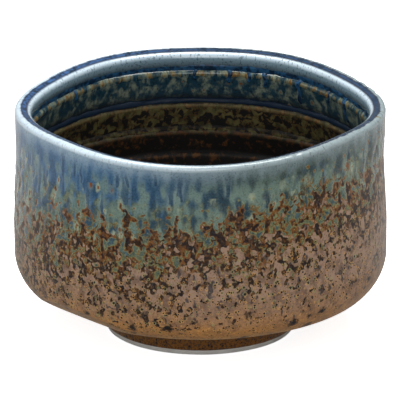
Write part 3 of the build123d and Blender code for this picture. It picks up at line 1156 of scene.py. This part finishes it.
def made(name, make, *arguments):
    """Makes a tree or a material the first time it is asked for."""
    if name not in _made:
        _made[name] = make(*arguments)
    return _made[name]


def shaping(name, make):
    """A tree that makes pieces, with the bend and the glaze's depth that all of them share."""
    depth = made("depth geometry", glaze_depth_tree, "GeometryNodeTree")
    bend = made("bend", wheel_tree)
    return made(name, make, bend, depth)


def glazed_surface(glaze):
    """The colours that both glazes read."""
    depth = made("depth colour", glaze_depth_tree, "ShaderNodeTree")
    specks = made("specks", speck_tree)
    trickle = made("trickle", trickle_tree)
    wall = made("wall", wall_colour_tree, depth, specks, trickle, glaze)
    cavity = made("cavity", cavity_colour_tree, depth, specks, glaze)
    return made("surface", surface_tree, wall, cavity)


def iron_material(glaze):
    surface = glazed_surface(glaze)
    return made("iron", glaze_material, "iron_glaze", surface, glaze, IRON_CLEAR_COAT)


def flat_plane(shape):
    """The centre and the outward direction of the trimmed flat on the clay."""
    down = shape.flat_tilt
    across = Vector((math.cos(shape.flat_azimuth), math.sin(shape.flat_azimuth), 0))
    outward = across * math.cos(down) - Vector((0, 0, math.sin(down)))
    ring = across * (HIP_CORNER.real - HIP_ROUND) * MM
    slope = cmath.phase(HIP_CORNER - complex(FOOT_RADIUS, FOOT_TOP))
    rise = (HIP_CORNER.real - HIP_ROUND - FOOT_RADIUS) * math.tan(slope)
    ring.z = (FOOT_TOP + rise + HIP_ROUND / math.cos(slope)) * MM
    return ring + outward * (HIP_ROUND * MM - shape.flat_depth), outward


def apply_tree(piece, tree, inputs):
    """Runs a node tree on a piece once and keeps the result as a plain mesh."""
    modifier = piece.modifiers.new(tree.name, "NODES")
    modifier.node_group = tree
    sockets = {s.name: s.identifier for s in tree.interface.items_tree if s.in_out == "INPUT"}
    for label, value in inputs.items():
        modifier[sockets[label]] = value
    evaluated = piece.evaluated_get(bpy.context.evaluated_depsgraph_get())
    mesh = bpy.data.meshes.new_from_object(evaluated)
    piece.modifiers.remove(modifier)
    old = piece.data
    piece.data = mesh
    bpy.data.meshes.remove(old)
    mesh.name = piece.name


def hand_inputs():
    """What the hand and the glazing give every tree that makes a piece."""
    shape = bpy.context.scene.bowl_shape
    glaze = bpy.context.scene.bowl_glaze
    centre, outward = flat_plane(shape)
    return {
        "Pinch": shape.pinch,
        "Rim Rise": shape.rim_rise,
        "Wave": shape.wave,
        "Flat Centre": centre,
        "Flat Normal": outward,
        "Line": glaze.line,
        "Lean": glaze.lean,
    }


def turned_piece(name, rows, material, node_name, closed=True):
    """A section turned into a piece that stands for a CAD node."""
    piece = section_object(name, rows, closed)
    inputs = hand_inputs() | {"Around": bpy.context.scene.bowl_shape.around, "Material": material}
    apply_tree(piece, shaping("turning", turning_tree), inputs)
    claim(piece, node_name)


def claim(piece, node_name):
    """Puts a piece on its body and hides the CAD node that it stands for."""
    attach(piece, BODY)
    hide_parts(node_name)


def runs_in_frame():
    """The azimuth, the width and the lowest point of each run in the frame, in millimetres."""
    mesh = bmesh.new()
    mesh.from_mesh(frame["nodes"]["inner_glaze_runs"].data)
    bmesh.ops.remove_doubles(mesh, verts=mesh.verts, dist=0.001 * MM)
    left = dict.fromkeys(mesh.verts)  # keeps their order, so sums are rounded the same way each time
    found = []
    while left:
        island = [left.popitem()[0]]
        for vert in island:
            for edge in vert.link_edges:
                other = edge.other_vert(vert)
                if other in left:
                    del left[other]
                    island.append(other)
        centre = sum((vert.co for vert in island), Vector()) / len(island)
        azimuth = math.atan2(centre.y, centre.x)
        side = Vector((-math.sin(azimuth), math.cos(azimuth), 0))
        offsets = [vert.co.dot(side) / MM for vert in island]
        found.append((azimuth, max(offsets) - min(offsets), min(vert.co.z for vert in island) / MM))
    mesh.free()
    return sorted(found)


RUN_START = 1.9  # how far above the upper ledge's crest a run starts
RUN_DRIFT = 0.35  # how far a run strays sideways
END_LENGTH = 0.55  # of a run's round drop, as a share of its width


def rounded_end(share):
    """How wide a round end is at a share of its length."""
    return math.sqrt(max(0.0, 1 - (1 - min(share, 1)) ** 2))


def run_rows(line, width, lowest):
    """Points down a run, with air, half width and bulge: wide at the pool, and round at its drop."""
    start = crossing(line, CRESTS[0] + RUN_START)
    end = crossing(line, lowest + width / 2)
    samples = stretch(line, start, end)
    lengths = [0.0]
    for (here, _), (there, _) in zip(samples, samples[1:]):
        lengths.append(lengths[-1] + abs(there - here))
    whole = lengths[-1]
    rows = []
    for (point, air), length in zip(samples, lengths):
        funnel = 1 + 1.5 * bell(length / 1.5)
        neck = 1 - 0.3 * bell((length - whole * 0.6) / (whole * 0.25))
        close = rounded_end((whole - length) / (width * END_LENGTH)) * rounded_end(length / 0.6)
        drop = bell((whole - length) / width)
        rows.append((point, air, width / 2 * funnel * neck * close, (0.45 + 0.35 * drop) * close))
    return rows


def runs_object(name, runs, line):
    """One line of edges for each run."""
    places, edges, airs, halves, bulges = [], [], [], [], []
    for azimuth, width, lowest in runs:
        first = len(places)
        for index, (point, air, half, bulge) in enumerate(run_rows(line, width, lowest)):
            drift = RUN_DRIFT * math.sin(index * 0.45 + azimuth * 9) / point.real
            across = cmath.rect(point.real * MM, azimuth + drift)
            places.append((across.real, across.imag, point.imag * MM))
            airs += [air.real, 0, air.imag]
            halves.append(half)
            bulges.append(bulge)
        edges += [(i, i + 1) for i in range(first, len(places) - 1)]
    mesh = bpy.data.meshes.new(name)
    mesh.from_pydata(places, edges, [])
    mesh.attributes.new("air", "FLOAT_VECTOR", "POINT").data.foreach_set("vector", airs)
    count = len(places)
    columns = {"half": halves, "bulge": bulges, "iron": [IRON_COAT] * count, "inside": [1.0] * count}
    for label, values in columns.items():
        mesh.attributes.new(label, "FLOAT", "POINT").data.foreach_set("value", values)
    return linked(name, mesh)


CLAY_STEP = 1.8  # how much longer the clay's faces are than the glazes'
CAVITY_STEP = 1.6  # the same for the iron glaze in the cavity
RUN_STEP = 0.35  # longest face of a run
JOINT_GAP = 0.05  # how far under the foot's top the foot ring ends
APRON = 0.6  # how far under the foot's top the wall's iron glaze reaches
FOOT_GLAZE_START = 0.55  # how far above the bare band the glaze on the foot's side starts
THIN_EDGE = 0.1  # depth of that glaze at its lowest edge
HIP_HEIGHT = 20  # the wall is looked for above this height
WALL_BLUE_END = 30  # the outer blue coat ends at this height


class BOWL_OT_clay(bpy.types.Operator):
    """Throw the clay body and turn the foot ring"""

    bl_idname = "bowl.clay"
    bl_label = "Clay"

    def execute(self, context):
        step = context.scene.bowl_shape.step / MM * CLAY_STEP
        outside, inside = outside_line(step), inside_line(step)
        foot_top = crossing(outside, FOOT_TOP - JOINT_GAP, lowest_sample(outside))
        clay = made("clay", clay_material, context.scene.bowl_glaze)
        joint = [(complex(0, FOOT_TOP), -1j), (complex(FOOT_RADIUS, FOOT_TOP), -1j)]
        body = skin(joint + stretch(outside, foot_top + 1), 0.0) + skin(inside[1:], 0.0, inside=1.0)
        turned_piece("thrown_body", body, clay, "clay_body", closed=False)
        well_top = crossing(outside, FOOT_TOP - JOINT_GAP)
        ring = skin(stretch(outside, well_top, foot_top), 0.0)
        turned_piece("turned_foot", ring, clay, "foot_ring")
        return {"FINISHED"}


class BOWL_OT_iron_glaze(bpy.types.Operator):
    """Lay the iron glaze over the wall, the cavity and the foot"""

    bl_idname = "bowl.iron_glaze"
    bl_label = "Iron Glaze"

    def execute(self, context):
        step = context.scene.bowl_shape.step / MM
        glaze = context.scene.bowl_glaze
        outside = outside_line(step)
        iron = iron_material(glaze)
        base = lowest_sample(outside)
        foot_side = crossing(outside, BARE_BAND + FOOT_GLAZE_START, base)
        foot_top = crossing(outside, FOOT_TOP - APRON, base)
        well_end = crossing(outside, WELL_LINE)

        wall = coat(stretch(outside, foot_top), 0.0, IRON_COAT)
        turned_piece("iron_wall_coat", wall, iron, "outer_iron_glaze")
        inside = inside_line(step * CAVITY_STEP)
        cavity = skin(hidden(inside), 0.0, inside=1.0)[::-1] + skin(inside, IRON_COAT, inside=1.0)
        turned_piece("iron_cavity_coat", cavity, iron, "inner_iron_glaze", closed=False)
        side = coat(stretch(outside, foot_side, foot_top), 0.0, IRON_COAT)
        side[0] = (*side[0][:2], THIN_EDGE, *side[0][3:])
        turned_piece("iron_foot_coat", side, iron, "foot_side_glaze")
        under = stretch(outside, 0, well_end)
        well = skin(under, IRON_COAT) + skin(hidden(under), 0.0)[::-1]
        turned_piece("iron_well_coat", well, iron, "foot_well_glaze", closed=False)
        return {"FINISHED"}


class BOWL_OT_blue_glaze(bpy.types.Operator):
    """Lay the running blue glaze over the upper wall, the lip and the upper cavity"""

    bl_idname = "bowl.blue_glaze"
    bl_label = "Blue Glaze"

    def execute(self, context):
        step = context.scene.bowl_shape.step / MM
        glaze = context.scene.bowl_glaze
        outside, inside = outside_line(step), inside_line(step)
        surface = glazed_surface(glaze)
        blue = made("blue", glaze_material, "blue_glaze", surface, glaze, BLUE_CLEAR_COAT)
        hip = crossing(outside, HIP_HEIGHT)
        low_end = crossing(outside, WALL_BLUE_END, int(hip) + 1)
        lip_start = crossing(outside, LIP_LINE, int(low_end) + 1)
        lip_end = crossing(inside, LIP_LINE)
        inner_end = crossing(inside, INNER_BLUE_END)
        under = IRON_COAT - BACK_SINK

        wall = coat(stretch(outside, low_end, lip_start), under, IRON_COAT, 1.0)
        turned_piece("blue_wall_coat", wall, blue, "outer_blue_glaze")
        outer_lip = stretch(outside, lip_start)
        inner_lip = stretch(inside, 0, lip_end)[1:]
        front = skin(outer_lip, IRON_COAT, 1.0) + skin(inner_lip, IRON_COAT, 1.0, 1.0)
        back = skin(outer_lip, under) + skin(inner_lip, under, 0.0, 1.0)
        turned_piece("blue_lip_coat", front + back[::-1], blue, "lip_blue_glaze")
        cavity = coat(stretch(inside, lip_end, inner_end), under, IRON_COAT, 1.0, 1.0)
        turned_piece("blue_cavity_coat", cavity, blue, "inner_blue_glaze")
        return {"FINISHED"}


class BOWL_OT_pools(bpy.types.Operator):
    """Gather glaze on the ledges inside the bowl"""

    bl_idname = "bowl.pools"
    bl_label = "Pools"

    def execute(self, context):
        blue = ("blue_glaze", made("pool", pool_material), IRON_COAT + BLUE_COAT)
        iron = ("iron_glaze", iron_material(context.scene.bowl_glaze), IRON_COAT)
        pools = (("upper_pool", blue, 2.4), ("middle_pool", blue, 1.2), ("lower_pool", iron, 1.2))
        for (name, (slot, material, coats), rise), node_name, crest in zip(pools, POOL_NODES, CRESTS):
            wall = complex(GROOVE_RADIUS - coats - 0.15, crest + SHELF_DROP + rise)
            lip = complex(CREST_RADIUS - coats * 0.5 + 0.5, crest + 0.35 + coats * 0.8)
            behind = complex(GROOVE_RADIUS - coats * 0.4, crest + SHELF_DROP + 0.6)
            swell = (wall + lip) / 2 + complex(-0.35, 0.3)
            front = rounded_line([wall, swell, lip], [1.4], 0.3)
            rows = skin(front, 0.0, inside=1.0, pool=1.0) + skin([(behind, 1 + 0j)], 0.0, inside=1.0)
            turned_piece(name, rows, material, node_name)
        return {"FINISHED"}


class BOWL_OT_runs(bpy.types.Operator):
    """Let glaze run from the upper pool over the ledge"""

    bl_idname = "bowl.runs"
    bl_label = "Runs"

    def execute(self, context):
        piece = runs_object("ledge_runs", runs_in_frame(), inside_line(RUN_STEP))
        material = made("pool", pool_material)
        apply_tree(piece, shaping("run", run_tree), hand_inputs() | {"Material": material})
        claim(piece, "inner_glaze_runs")
        return {"FINISHED"}


# ---------------------------------------------------------------- the studio

AIM = (-0.16, 0, 42.8)  # where the camera looks, in millimetres
CLIP_END = 100.0
FLOOR_HALF = 3.0
FLOOR_DROP = 0.1 * MM
SKY = (0.93, 0.97, 1.0)
SKY_STRENGTH = 0.15
FLOOR_GLOW = 0.85  # how much the floor shines by itself to the camera
FLOOR_SHEEN = 0.4  # and to the glaze's reflections, where it lies behind the bowl
FLOOR_BOUNCE = (0.6, 0.6, 0.6)  # its colour in the light that it throws back
FLOOR_REFLECTED = (0.1, 0.1, 0.1)  # and in the glaze's reflections
LAMPS = (
    ("overhead", (0.0, 0.12, 1.1), (1.3, 0.4), 18.0, (1.0, 1.0, 1.0)),
    ("front", (0.0, -1.3, 0.6), (0.9, 0.6), 5.9, (1.0, 1.0, 1.0)),
    ("left", (-1.2, 0.1, 0.35), (0.4, 0.8), 1.7, SKY),
    ("right", (1.2, 0.2, 0.35), (0.2, 0.8), 0.35, (1.0, 1.0, 1.0)),
)  # name, place, size, power in watts and colour


def floor_material(colour):
    """A plain pale floor that fills its own shadows a little."""
    material = bpy.data.materials.new("studio_floor")
    material.use_nodes = True
    tree = material.node_tree
    shader = tree.nodes["Principled BSDF"]
    rays = raw_node(tree, "ShaderNodeLightPath")
    seen = Wire(tree, rays.outputs["Is Camera Ray"])
    mirrored = Wire(tree, rays.outputs["Is Glossy Ray"])
    place = Wire(tree, raw_node(tree, "ShaderNodeTexCoord").outputs["Object"])
    behind = place.split()[Y].rise(-0.12, 0.1)
    unseen = blend(mirrored, FLOOR_BOUNCE, FLOOR_REFLECTED)
    feed(tree, shader.inputs["Base Color"], blend(seen, unseen, tuple(colour)))
    glow = (seen * FLOOR_GLOW + mirrored * behind * FLOOR_SHEEN).clip()
    feed(tree, shader.inputs["Emission Color"], blend(glow, (0.0, 0.0, 0.0), (1.0, 1.0, 1.0)))
    shader.inputs["Emission Strength"].default_value = 1.0
    shader.inputs["Roughness"].default_value = 0.9
    return material


def soft_light(name, place, size, power, colour, aim):
    """A soft rectangular light at a place, turned to another."""
    light = bpy.data.lights.new(name, "AREA")
    light.shape = "RECTANGLE"
    light.size, light.size_y = size
    light.energy = power
    light.color = colour
    lamp = linked(name, light)
    lamp.location = place
    lamp.rotation_euler = (Vector(aim) - Vector(place)).to_track_quat("-Z", "Y").to_euler()
    lamp.visible_camera = False


class BOWL_OT_studio(bpy.types.Operator):
    """Set up the floor, the lights and the camera"""

    bl_idname = "bowl.studio"
    bl_label = "Studio"

    def execute(self, context):
        scene = context.scene
        studio = scene.bowl_studio
        floor = linked("floor", bpy.data.meshes.new("floor"))
        turns = ((-1, -1), (1, -1), (1, 1), (-1, 1))
        corners = [(x * FLOOR_HALF, y * FLOOR_HALF, -FLOOR_DROP) for x, y in turns]
        floor.data.from_pydata(corners, [], [(0, 1, 2, 3)])
        floor.data.materials.append(floor_material(studio.floor))

        world = bpy.data.worlds.new("studio")
        world.use_nodes = True
        background = world.node_tree.nodes["Background"]
        background.inputs["Color"].default_value = (*SKY, 1.0)
        background.inputs["Strength"].default_value = SKY_STRENGTH
        scene.world = world
        scene.view_settings.view_transform = "Standard"

        for lamp in LAMPS:
            soft_light(*lamp, aim=(0, 0, BOWL_HEIGHT / 2 * MM))

        lens = studio.lens
        camera = bpy.data.cameras.new("camera")
        camera.lens = lens
        camera.clip_end = CLIP_END
        viewer = linked("camera", camera)
        aim = Vector(AIM) * MM
        back = Vector((0, -math.cos(studio.elevation), math.sin(studio.elevation)))
        viewer.location = aim + back * (lens / camera.sensor_width * studio.view_width)
        viewer.rotation_euler = (-back).to_track_quat("-Z", "Y").to_euler()
        scene.camera = viewer
        return {"FINISHED"}


# ---------------------------------------------------------------- the add-on


class BOWL_PT_bowl(bpy.types.Panel):
    """Lists the steps that build the bowl"""

    bl_idname = "BOWL_PT_bowl"
    bl_label = "Matcha Bowl"
    bl_space_type = "VIEW_3D"
    bl_region_type = "UI"
    bl_category = "Bowl"

    def draw(self, context):
        layout = self.layout
        for group_name, labels in SETTINGS.items():
            settings = getattr(context.scene, group_name)
            for label in labels.__annotations__:
                layout.prop(settings, label)
        for operator in OPERATORS:
            layout.operator(operator.bl_idname)


SETTINGS = {"bowl_shape": BowlShape, "bowl_glaze": BowlGlaze, "bowl_studio": BowlStudio}
OPERATORS = (
    BOWL_OT_clay,
    BOWL_OT_iron_glaze,
    BOWL_OT_blue_glaze,
    BOWL_OT_pools,
    BOWL_OT_runs,
    BOWL_OT_studio,
)
CLASSES = (*SETTINGS.values(), *OPERATORS, BOWL_PT_bowl)


def register():
    for each in CLASSES:
        bpy.utils.register_class(each)
    for label, settings in SETTINGS.items():
        setattr(bpy.types.Scene, label, PointerProperty(type=settings))


def unregister():
    for label in SETTINGS:
        delattr(bpy.types.Scene, label)
    for each in reversed(CLASSES):
        bpy.utils.unregister_class(each)


def main():
    register()
    bpy.ops.bowl.clay()
    bpy.ops.bowl.iron_glaze()
    bpy.ops.bowl.blue_glaze()
    bpy.ops.bowl.pools()
    bpy.ops.bowl.runs()
    bpy.ops.bowl.studio()


if __name__ == "__main__":
    main()
